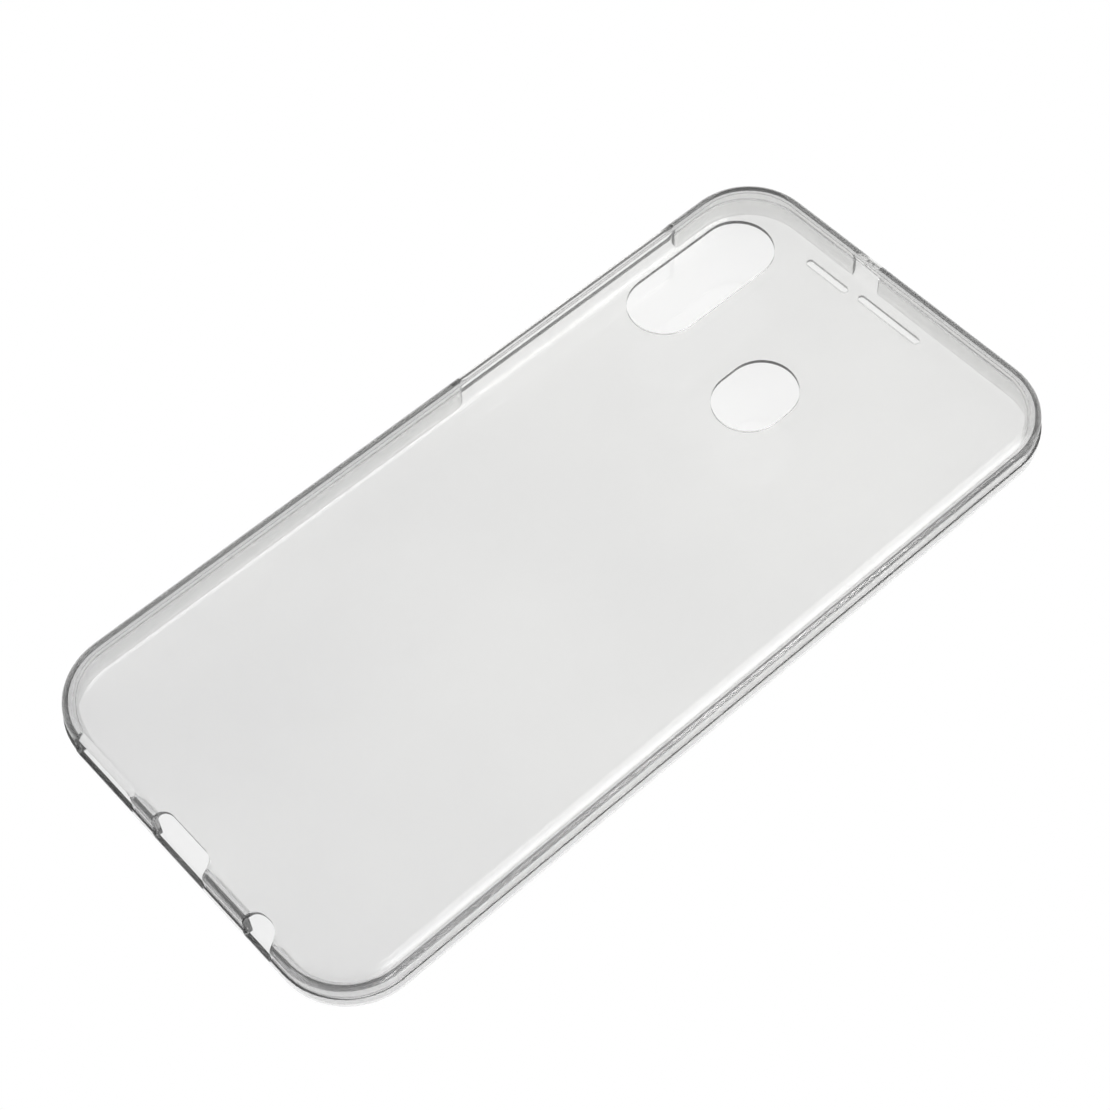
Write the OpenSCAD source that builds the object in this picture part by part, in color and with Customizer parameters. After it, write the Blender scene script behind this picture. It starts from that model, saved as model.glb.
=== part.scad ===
// Full-body clear phone case in two halves, lying on its screen cover.
//
// Frame: +Z is up, +Y points to the top of the phone, and +X is to the right when the case is
// seen from its back. The screen cover is underneath and the back plate is on top. The origin is
// at the middle of the case's footprint, on the surface it lies on. All sizes are in millimetres.
//
// The front half is a shallow tray: the thin screen cover and a low rim all round it. The back
// half has the back plate and the side wall. Below the parting line its wall is thinner and
// becomes a skirt, which slips inside the front rim. The halves pull apart along Z.

/* [Case] */
// Overall length, from the bottom edge to the top edge
case_l = 161; // [140:0.5:175]
// Overall width
case_w = 78; // [68:0.5:86]
// Overall thickness
case_h = 9.2; // [8.8:0.1:12]
// Radius of the four corners, seen from above
corner_r = 13; // [9:0.5:16]

/* [Walls] */
// Thickness of the side wall, rim and skirt together
wall_t = 1.65; // [1.5:0.05:2.2]
// Thickness of the back plate
plate_t = 0.8; // [0.6:0.05:1.2]
// Thickness of the screen cover
cover_t = 0.6; // [0.4:0.05:0.8]
// Radius of the long edge round the back plate
back_edge_r = 2.4; // [1.6:0.1:2.8]
// Radius of the edge round the screen cover
cover_edge_r = 2.8; // [2.2:0.1:3]
// How far the wall of the back half is set back from the rim of the front half
wall_step = 0.3; // [0.15:0.05:0.4]

/* [Lap joint] */
// Height of the parting line, where the front rim ends
rim_top = 4.6; // [3.8:0.1:5.2]
// Thickness of the front rim
rim_t = 0.85; // [0.75:0.05:1]
// Gap between the front rim and the skirt, on each side
lap_gap = 0.05; // [0.03:0.01:0.1]
// Gap left above the rim when the case is shut
shut_gap = 0.05; // [0.03:0.01:0.1]
// Height of the skirt's foot, which is thinned to a narrow edge by the rim's inner radius
skirt_foot = 1.2; // [1.2:0.1:1.8]

/* [Back windows] */
// Camera window: middle, across the case
camera_x = -25.1; // [-26:0.1:-20]
// Camera window: middle, along the case
camera_y = 54.8; // [48:0.1:56]
// Camera window: width
camera_w = 13.2; // [8:0.1:14]
// Camera window: length
camera_l = 30.8; // [20:0.1:32]
// Fingerprint window: middle, along the case
finger_y = 43.4; // [38:0.1:48]
// Fingerprint window: width
finger_w = 12.7; // [10:0.1:14]
// Fingerprint window: length
finger_l = 16; // [14.5:0.1:18]

/* [Side windows] */
// Button window in the left wall: end nearer the bottom edge
button_y0 = 9.6; // [4:0.1:14]
// Button window: end nearer the top edge
button_y1 = 60; // [50:0.1:62]
// Loudspeaker window in the bottom wall: middle, across the case
speaker_x = -19.2; // [-22:0.1:-17]
// Loudspeaker window: width
speaker_w = 15; // [10:0.1:16]
// Top of the button and loudspeaker windows
window_top = 7.9; // [7.2:0.1:8]
// Radius of the free corners of the skirt beside each window
skirt_corner_r = 1.6; // [0.8:0.1:2]
// Height of the rim where it is lowered beside the ports, buttons and loudspeaker
low_rim = 3.5; // [2.8:0.1:3.8]

/* [Port notches] */
// Depth of the notches, from the outline inwards
notch_depth = 3.3; // [3:0.1:4]
// Charging port notch: width
port_w = 12.8; // [11:0.1:14]
// Charging port notch: radius of its inner corners
port_r = 2.4; // [1:0.1:2.8]
// Headphone notch: middle, across the case
jack_x = 19.6; // [18:0.1:22]
// Headphone notch: width
jack_w = 6.6; // [6.4:0.1:8]
// Headphone notch: radius of its inner corners
jack_r = 3; // [2:0.1:3.1]

/* [Microphone] */
// Microphone pocket on the inner face of the top wall: middle, across the case
mic_x = -8.1; // [-10:0.1:-6]
// Microphone pocket: width
mic_pocket_w = 6; // [4:0.1:8]
// Microphone pocket: how deep it is cut into the wall above the skirt
mic_pocket_t = 0.75; // [0.4:0.05:0.8]
// Microphone hole: height of its centre
mic_z = 5.9; // [5.7:0.1:6.4]
// Microphone hole: diameter
mic_d = 1.6; // [1:0.1:1.8]

/* [Screen cover slots] */
// Width of both slots, along the case
slot_w = 1.4; // [1:0.1:1.8]
// Sensor slot: middle, across the case
sensor_x = -14.4; // [-16:0.1:-13]
// Sensor slot: middle, along the case
sensor_y = 75.9; // [74:0.1:76.2]
// Sensor slot: length
sensor_l = 9.8; // [6:0.1:10]
// Earpiece slot: middle, along the case
earpiece_y = 76.6; // [74.5:0.1:77]
// Earpiece slot: length
earpiece_l = 14.4; // [10:0.1:15]

/* [Hidden] */

$fn = 96;
clear_grey = [0.78, 0.79, 0.79, 0.55];
clear_film = [0.90, 0.91, 0.91, 0.45];

// How far a cutter reaches past the face it cuts through
past = 2;

skirt_in = rim_t + lap_gap;
tray_edge_r = cover_edge_r - rim_t;
skirt_edge_r = tray_edge_r - lap_gap;
cavity_edge_r = back_edge_r - plate_t;
window_in = wall_t + 0.6;
window_r = 1.2;
low_rim_r = 0.7;

// Rounded rectangle seen from above, set in from the case's outline on every side
module outline(inset) {
    w = case_w - 2 * inset;
    l = case_l - 2 * inset;
    r = corner_r - inset;
    square([w, l - 2 * r], center = true);
    square([w - 2 * r, l], center = true);
    for (sx = [-1, 1], sy = [-1, 1])
        translate([sx * (w / 2 - r), sy * (l / 2 - r)]) circle(r);
}

// Straight-sided block on that outline
module block(inset, z0, z1) {
    translate([0, 0, z0]) linear_extrude(z1 - z0) outline(inset);
}

// Section of a block's side: reach is its half width, and its upper outer edge has a radius
module side_section(reach, height, edge_r) {
    square([reach, height - edge_r]);
    square([reach - edge_r, height]);
    translate([reach - edge_r, height - edge_r]) intersection() {
        circle(edge_r);
        square(edge_r);
    }
}

// Block on the outline whose upper edge is rounded all the way round
module rounded_block(inset, z0, z1, edge_r) {
    w = case_w - 2 * inset;
    l = case_l - 2 * inset;
    r = corner_r - inset;
    height = z1 - z0;
    translate([0, 0, z0]) {
        for (turn = [0, 180]) {
            rotate([0, 0, turn]) rotate([90, 0, 0])
                linear_extrude(l - 2 * r, center = true) side_section(w / 2, height, edge_r);
            rotate([0, 0, turn]) translate([0, l / 2 - r, 0]) rotate([90, 0, 90])
                linear_extrude(w - 2 * r, center = true) side_section(r, height, edge_r);
        }
        for (flip_x = [0, 1], flip_y = [0, 1])
            mirror([flip_x, 0, 0]) mirror([0, flip_y, 0]) translate([w / 2 - r, l / 2 - r, 0])
                rotate_extrude(angle = 90) side_section(r, height, edge_r);
    }
}

// The same block upside down: its lower edge is rounded
module bowl(inset, z0, z1, edge_r) {
    mirror([0, 0, 1]) rounded_block(inset, -z1, -z0, edge_r);
}

// Slot with round ends, lying across the case
module slot(length, width) {
    square([length - width, width], center = true);
    for (side = [-1, 1])
        translate([side * (length - width) / 2, 0]) circle(width / 2);
}

// Window in a wall, seen square on, open at the skirt's foot. The skirt's two free corners are
// rounded off beside it. The first axis runs along the wall and the second one is Z.
module wall_window(width, top) {
    foot = skirt_foot;
    translate([-width / 2, foot - past]) square([width, top - window_r - foot + past]);
    translate([window_r - width / 2, foot]) square([width - 2 * window_r, top - foot]);
    for (side = [-1, 1]) {
        translate([side * (width / 2 - window_r), top - window_r]) circle(window_r);
        translate([side * (width + skirt_corner_r) / 2, foot]) difference() {
            square([skirt_corner_r, 2 * skirt_corner_r], center = true);
            translate([side * skirt_corner_r / 2, skirt_corner_r]) circle(skirt_corner_r);
        }
    }
}

// Dip in the front rim, seen square on, with round lower corners
module rim_dip(width) {
    translate([-width / 2, low_rim + low_rim_r]) square([width, case_h]);
    translate([low_rim_r - width / 2, low_rim]) square([width - 2 * low_rim_r, case_h]);
    for (side = [-1, 1])
        translate([side * (width / 2 - low_rim_r), low_rim + low_rim_r]) circle(low_rim_r);
}

// Places a shape drawn along a wall and in Z on the bottom wall, cutting inwards by depth
module on_bottom_wall(x, depth) {
    translate([x, depth - case_l / 2, 0]) rotate([90, 0, 0])
        linear_extrude(depth + past) children();
}

// The same on the left wall, where the shape's first axis runs along Y
module on_left_wall(y, depth) {
    translate([depth - case_w / 2, y, 0]) rotate([90, 0, -90])
        linear_extrude(depth + past) children();
}

// Notch through the wall and the plate's edge at the bottom, seen from above
module port_notch(x, width, r) {
    inner = notch_depth - case_l / 2;
    translate([x, 0]) {
        translate([-width / 2, inner - notch_depth - past])
            square([width, notch_depth + past - r]);
        translate([r - width / 2, inner - notch_depth]) square([width - 2 * r, notch_depth]);
        for (side = [-1, 1])
            translate([side * (width / 2 - r), inner - r]) circle(r);
    }
}

// Camera and fingerprint windows in the back plate
module plate_windows() {
    translate([0, 0, case_h - plate_t - past]) linear_extrude(plate_t + 2 * past) {
        translate([camera_x, camera_y]) rotate(90) slot(camera_l, camera_w);
        translate([0, finger_y]) rotate(90) slot(finger_l, finger_w);
    }
}

// Notches for the charging port and the headphone plug
module port_notches() {
    translate([0, 0, -past]) linear_extrude(case_h + 2 * past) {
        port_notch(0, port_w, port_r);
        port_notch(jack_x, jack_w, jack_r);
    }
    on_bottom_wall(0, window_in) wall_window(port_w, window_top);
    on_bottom_wall(jack_x, window_in) wall_window(jack_w, window_top);
}

// Pocket on the inner face of the top wall, and the small hole through what is left of it
module mic_opening() {
    inner_y = case_l / 2 - wall_t;
    translate([mic_x - mic_pocket_w / 2, inner_y - past, -past])
        cube([mic_pocket_w, past + mic_pocket_t, window_top + past]);
    translate([mic_x, inner_y, mic_z]) rotate([-90, 0, 0]) cylinder(d = mic_d, h = wall_t + past);
}

module back_shell() {
    wall_foot = rim_top + shut_gap;
    button_w = button_y1 - button_y0;
    color(clear_grey) difference() {
        union() {
            rounded_block(wall_step, wall_foot, case_h, back_edge_r);
            bowl(skirt_in, cover_t + lap_gap, wall_foot + back_edge_r / 2, skirt_edge_r);
        }
        block(0, -past, skirt_foot);
        rounded_block(wall_t, -past, case_h - plate_t, cavity_edge_r);
        plate_windows();
        port_notches();
        mic_opening();
        on_left_wall((button_y0 + button_y1) / 2, window_in) wall_window(button_w, window_top);
        on_bottom_wall(speaker_x, window_in) wall_window(speaker_w, window_top);
    }
}

module front_shell() {
    button_w = button_y1 - button_y0;
    color(clear_film) difference() {
        bowl(0, 0, rim_top, cover_edge_r);
        bowl(rim_t, cover_t, rim_top + past, tray_edge_r);
        translate([0, 0, -past]) linear_extrude(cover_t + 2 * past) {
            translate([sensor_x, sensor_y]) slot(sensor_l, slot_w);
            translate([0, earpiece_y]) slot(earpiece_l, slot_w);
        }
        on_left_wall((button_y0 + button_y1) / 2, window_in) rim_dip(button_w);
        on_bottom_wall(speaker_x, window_in) rim_dip(speaker_w);
        on_bottom_wall(0, window_in) rim_dip(port_w);
        on_bottom_wall(jack_x, window_in) rim_dip(jack_w);
    }
}

back_shell();
front_shell();
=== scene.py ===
"""Two-part clear phone case on a plain white table, lit by a soft studio.

Units are metres. Both shells are the CAD meshes with their sharp edges eased:
shape, size and place come from the CAD frame.
"""
import math

import bmesh
import bpy
from mathutils import Matrix, Vector


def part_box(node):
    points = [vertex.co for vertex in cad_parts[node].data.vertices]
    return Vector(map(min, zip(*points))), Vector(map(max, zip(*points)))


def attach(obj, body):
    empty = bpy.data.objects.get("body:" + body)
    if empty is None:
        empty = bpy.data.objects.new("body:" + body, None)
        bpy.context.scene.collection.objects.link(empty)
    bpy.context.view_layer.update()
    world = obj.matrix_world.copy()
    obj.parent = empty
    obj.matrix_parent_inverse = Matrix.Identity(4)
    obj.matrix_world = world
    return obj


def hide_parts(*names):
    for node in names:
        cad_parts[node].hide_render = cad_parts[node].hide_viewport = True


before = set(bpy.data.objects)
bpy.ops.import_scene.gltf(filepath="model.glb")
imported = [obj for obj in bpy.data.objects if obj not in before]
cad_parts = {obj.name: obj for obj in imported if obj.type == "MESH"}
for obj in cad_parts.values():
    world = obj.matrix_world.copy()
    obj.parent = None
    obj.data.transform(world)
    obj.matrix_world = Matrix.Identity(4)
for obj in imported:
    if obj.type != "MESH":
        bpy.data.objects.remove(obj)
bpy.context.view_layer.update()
MM = 0.001

# Camera: bearing round the case, height angle and tilt in degrees, then metres
AZIMUTH, ELEVATION, ROLL = 51.52, 56.589, -4.209
DISTANCE = 0.40941
AIM_RIGHT, AIM_UP, AIM_Z = -0.001789, 0.000246, 0.005
LENS, SENSOR = 80.715, 36.0  # mm
CLIP = (0.01, 100.0)

# Brightness of the surroundings by the sine of the height above the horizon
SKY = ((0.0, 0.20), (0.12, 0.28), (0.35, 0.55), (0.7, 0.95))
# Large soft glows in the surroundings: direction from the case, extra brightness,
# then the angles from that direction where each fades out and where it is full
GLOWS = (
    ((0.90, 0.30, 0.42), 2.4, 42, 10),
    ((0.47, 0.34, 0.81), 4.2, 26, 8),
    ((-0.43, -0.84, 0.38), 1.3, 38, 10),
)
FLOOR_GLOW = 1.0
FLOOR_HALF, FLOOR_DROP = 20.0, 0.05 * MM

# Light turns grey in thick plastic: what is left of each colour, and how soon
ABSORB = (0.45, 0.45, 0.45, 1)
SMOKE_DENSITY, CLEAR_DENSITY = 300.0, 100.0
# Share of light that each surface scatters
SMOKE_HAZE, CLEAR_HAZE = 0.055, 0.045
IOR = 1.5
# Darkest and lightest colour of each plastic, spread by random clouds and by painted light
# towards the top, and its smoothest and dullest polish
SMOKE_TONE_AND_PAINTED_LIGHT = ((0.92, 0.92, 0.92), (1.0, 1.0, 0.992))
CLEAR_TONE_AND_PAINTED_LIGHT = ((0.95, 0.95, 0.95), (0.99, 0.99, 0.985))
SMOKE_POLISH, CLEAR_POLISH = (0.04, 0.10), (0.03, 0.07)

# Noise scales, in features per metre, with their detail
CLOUDS, SMUDGES, RIPPLES = (22.0, 3.0), (140.0, 4.0), (420.0, 2.0)
CLOUD_SHARE, PAINTED_LIGHT_SHARE = 0.35, 0.65  # what random clouds and the painted light add to the colour
PAINTED_LIGHT_FROM, PAINTED_LIGHT_TO = -0.08, 0.02  # stretch of Y over which painted light makes the case lighter
RIPPLE_STRENGTH, RIPPLE_DEPTH = 0.12, 0.02 * MM

WELD = 1e-6
FLAT = math.radians(0.3)  # faces with a smaller turn between them are one face
SHARP = math.radians(35)  # edges with a greater turn are eased
EASE = 0.08 * MM  # how far moulded edges are eased
BOUNCES = 24


def link(ob):
    bpy.context.scene.collection.objects.link(ob)
    return ob


def make_camera():
    a, e, r = map(math.radians, (AZIMUTH, ELEVATION, ROLL))
    back = Vector((math.sin(a) * math.cos(e), -math.cos(a) * math.cos(e), math.sin(e)))
    level = (-back).cross(Vector((0, 0, 1))).normalized()
    above = level.cross(-back)
    right = level * math.cos(r) + above * math.sin(r)
    up = above * math.cos(r) - level * math.sin(r)
    spot = back * DISTANCE + right * AIM_RIGHT + up * AIM_UP + Vector((0, 0, AIM_Z))
    data = bpy.data.cameras.new("camera")
    data.lens, data.sensor_width = LENS, SENSOR
    data.clip_start, data.clip_end = CLIP
    cam = link(bpy.data.objects.new("camera", data))
    turn = Matrix((right, up, back)).transposed().to_4x4()
    cam.matrix_world = Matrix.Translation(spot) @ turn
    bpy.context.scene.camera = cam


def noise(nt, where, scale, detail):
    n = nt.nodes.new("ShaderNodeTexNoise")
    n.inputs["Scale"].default_value = scale
    n.inputs["Detail"].default_value = detail
    nt.links.new(where, n.inputs["Vector"])
    return n.outputs["Fac"]


def spread(nt, value, low, high, start=0.3, end=0.7, smooth=False):
    """Map start..end of a value to low..high."""
    r = nt.nodes.new("ShaderNodeMapRange")
    r.interpolation_type = "SMOOTHSTEP" if smooth else "LINEAR"
    ends = (("From Min", start), ("From Max", end), ("To Min", low), ("To Max", high))
    for k, v in ends:
        r.inputs[k].default_value = v
    nt.links.new(value, r.inputs["Value"])
    return r.outputs["Result"]


def make_world():
    world = bpy.data.worlds.new("studio")
    world.use_nodes = True
    nt = world.node_tree
    nt.nodes.clear()
    out = nt.nodes.new("ShaderNodeOutputWorld")
    bg = nt.nodes.new("ShaderNodeBackground")
    way = nt.nodes.new("ShaderNodeTexCoord").outputs["Generated"]
    sep = nt.nodes.new("ShaderNodeSeparateXYZ")
    ramp = nt.nodes.new("ShaderNodeValToRGB")
    nt.links.new(way, sep.inputs[0])
    nt.links.new(sep.outputs["Z"], ramp.inputs[0])
    stops = ramp.color_ramp.elements
    stops.remove(stops[1])
    for i, (pos, v) in enumerate(SKY):
        stop = stops[0] if i == 0 else stops.new(pos)
        stop.position, stop.color = pos, (v, v, v, 1)
    light = ramp.outputs[0]
    for toward, glow, fade, full in GLOWS:
        dot = nt.nodes.new("ShaderNodeVectorMath")
        dot.operation = "DOT_PRODUCT"
        dot.inputs[1].default_value = Vector(toward).normalized()
        nt.links.new(way, dot.inputs[0])
        ends = [math.cos(math.radians(v)) for v in (fade, full)]
        lobe = spread(nt, dot.outputs["Value"], 0.0, glow, *ends, smooth=True)
        add = nt.nodes.new("ShaderNodeMath")
        nt.links.new(light, add.inputs[0])
        nt.links.new(lobe, add.inputs[1])
        light = add.outputs[0]
    nt.links.new(light, bg.inputs[0])
    nt.links.new(bg.outputs[0], out.inputs[0])
    bpy.context.scene.world = world


def make_floor():
    s, z = FLOOR_HALF, -FLOOR_DROP
    corners = [(-s, -s, z), (s, -s, z), (s, s, z), (-s, s, z)]
    me = bpy.data.meshes.new("floor")
    me.from_pydata(corners, [], [(0, 1, 2, 3)])
    ob = link(bpy.data.objects.new("floor", me))
    m = bpy.data.materials.new("floor_white")
    m.use_nodes = True
    nt = m.node_tree
    nt.nodes.clear()
    out = nt.nodes.new("ShaderNodeOutputMaterial")
    glow = nt.nodes.new("ShaderNodeEmission")
    glow.inputs["Strength"].default_value = FLOOR_GLOW
    glow.inputs["Color"].default_value = (1, 1, 1, 1)
    nt.links.new(glow.outputs[0], out.inputs[0])
    me.materials.append(m)


def clear_plastic(name, tone_and_painted_light, density, haze, polish):
    """Glossy soft plastic: cloudy tint, painted light that lightens it towards the top,
    uneven polish and a faint moulded ripple.
    """
    m = bpy.data.materials.new(name)
    m.use_nodes = True
    nt = m.node_tree
    b = nt.nodes["Principled BSDF"]
    out = nt.nodes["Material Output"]
    at = nt.nodes.new("ShaderNodeTexCoord").outputs["Object"]
    b.inputs["Transmission Weight"].default_value = 1.0 - haze
    b.inputs["IOR"].default_value = IOR

    # Colour: cloudy patches some 4 cm across, and painted light that makes the case lighter
    # towards the top
    cloud = spread(nt, noise(nt, at, *CLOUDS), 0.0, 1.0, 0.35, 0.65)
    sep = nt.nodes.new("ShaderNodeSeparateXYZ")
    nt.links.new(at, sep.inputs[0])
    # Painted light: the colour grows lighter along Y towards the top of the case, in place
    # of brighter reflections there
    painted_light = spread(nt, sep.outputs["Y"], 0.0, PAINTED_LIGHT_SHARE, PAINTED_LIGHT_FROM, PAINTED_LIGHT_TO)
    add = nt.nodes.new("ShaderNodeMath")
    add.operation = "MULTIPLY_ADD"
    add.inputs[1].default_value = CLOUD_SHARE
    nt.links.new(cloud, add.inputs[0])
    nt.links.new(painted_light, add.inputs[2])
    # Blend the darkest and lightest colour by random clouds plus the painted light
    mix = nt.nodes.new("ShaderNodeMix")
    mix.data_type = "RGBA"
    mix.inputs[6].default_value = (*tone_and_painted_light[0], 1)
    mix.inputs[7].default_value = (*tone_and_painted_light[1], 1)
    nt.links.new(add.outputs[0], mix.inputs[0])
    nt.links.new(mix.outputs[2], b.inputs["Base Color"])

    smudge = spread(nt, noise(nt, at, *SMUDGES), *polish)
    nt.links.new(smudge, b.inputs["Roughness"])
    bump = nt.nodes.new("ShaderNodeBump")
    bump.inputs["Strength"].default_value = RIPPLE_STRENGTH
    bump.inputs["Distance"].default_value = RIPPLE_DEPTH
    nt.links.new(noise(nt, at, *RIPPLES), bump.inputs["Height"])
    nt.links.new(bump.outputs[0], b.inputs["Normal"])

    v = nt.nodes.new("ShaderNodeVolumeAbsorption")
    v.inputs["Color"].default_value = ABSORB
    v.inputs["Density"].default_value = density
    nt.links.new(v.outputs[0], out.inputs["Volume"])
    return m


def moulded(node, name, material, body):
    """The CAD shell with flat faces joined up and sharp edges eased."""
    bm = bmesh.new()
    bm.from_mesh(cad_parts[node].data)
    bmesh.ops.remove_doubles(bm, verts=bm.verts, dist=WELD)
    bmesh.ops.dissolve_limit(
        bm, angle_limit=FLAT, verts=bm.verts, edges=bm.edges,
        use_dissolve_boundaries=False)
    sharp = [e for e in bm.edges if e.calc_face_angle(0) > SHARP]
    bmesh.ops.bevel(
        bm, geom=sharp, offset=EASE, offset_type="OFFSET", segments=2, profile=0.5,
        affect="EDGES", clamp_overlap=False)
    low, high = (Vector(c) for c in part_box(node))
    for v in bm.verts:
        v.co = [min(max(c, a), b) for c, a, b in zip(v.co, low, high)]
    for f in bm.faces:
        f.smooth = True
    me = bpy.data.meshes.new(name)
    bm.to_mesh(me)
    bm.free()
    me.materials.append(material)
    ob = link(bpy.data.objects.new(name, me))
    mod = ob.modifiers.new("normals", "WEIGHTED_NORMAL")
    mod.mode = "FACE_AREA"
    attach(ob, body)
    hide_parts(node)


make_camera()
make_world()
make_floor()
smoke = clear_plastic("smoke_plastic", SMOKE_TONE_AND_PAINTED_LIGHT, SMOKE_DENSITY, SMOKE_HAZE, SMOKE_POLISH)
clear = clear_plastic("clear_plastic", CLEAR_TONE_AND_PAINTED_LIGHT, CLEAR_DENSITY, CLEAR_HAZE, CLEAR_POLISH)
moulded("back_shell", "back_moulding", smoke, "back_half")
moulded("front_shell", "front_moulding", clear, "front_half")

scene = bpy.context.scene
scene.view_settings.view_transform = "Standard"
scene.cycles.max_bounces = BOUNCES
scene.cycles.transmission_bounces = BOUNCES
